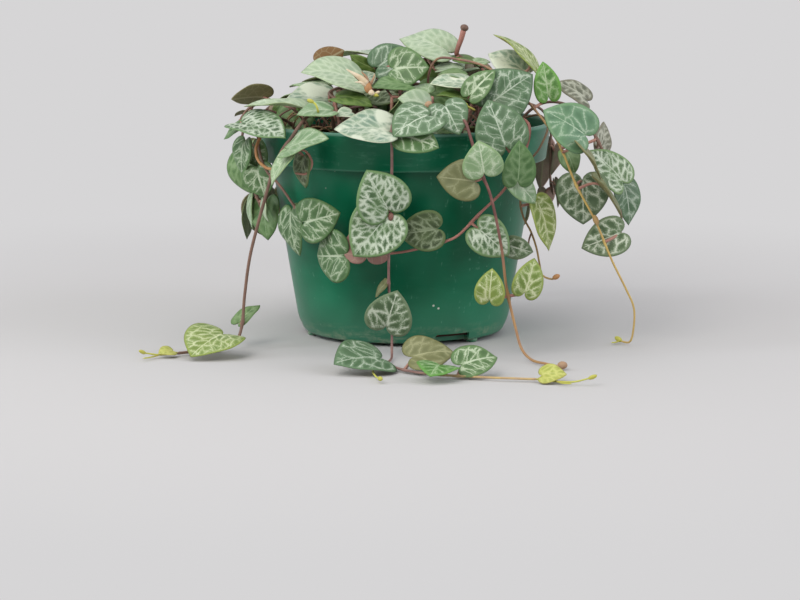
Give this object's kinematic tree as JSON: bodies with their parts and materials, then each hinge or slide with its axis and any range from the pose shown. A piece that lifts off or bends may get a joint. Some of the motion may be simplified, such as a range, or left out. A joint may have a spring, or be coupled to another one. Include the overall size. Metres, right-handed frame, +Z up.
{
  "type": "potted trailing plant",
  "caption": "Variegated string of hearts: small heart-shaped leaves on wiry stems heaped over a round tapered nursery pot and trailing down its sides to the surface.",
  "frame": {"origin": "on the pot's axis, on the surface that the pot stands on", "axes": "+Z up along the pot's axis; -Y is the front, towards the viewer of the picture; +X is the viewer's right"},
  "size_m": [0.1669, 0.214, 0.1092],
  "materials": {
    "pot_plastic": "semi-gloss injection-moulded polypropylene, deep green",
    "potting_soil": "matt, fibrous, dark brown",
    "vine_leaf": "satin leaf, dark green with a silver net, on purple-brown stems",
    "crown_leaf": "satin leaf, pale silver-green, on purple-brown stems"
  },
  "bodies": {
    "root": {"pot": "pot_plastic", "soil": "potting_soil", "vine_left_rim": "vine_leaf", "vine_left_side": "vine_leaf", "vine_left_wall": "vine_leaf", "vine_left_long": "vine_leaf", "vine_front_long": "vine_leaf", "vine_right_long": "vine_leaf", "vine_across_front": "vine_leaf", "vine_right_wall": "vine_leaf", "vine_right_arc": "vine_leaf", "vine_right_side": "vine_leaf", "vine_right_back": "vine_leaf", "vine_back_1": "vine_leaf", "vine_back_2": "vine_leaf", "vine_back_3": "vine_leaf", "vine_back_4": "vine_leaf", "vine_back_5": "vine_leaf", "crown_left": "crown_leaf", "crown_middle": "crown_leaf", "crown_right": "crown_leaf", "crown_back": "crown_leaf"}
  },
  "joints": []
}
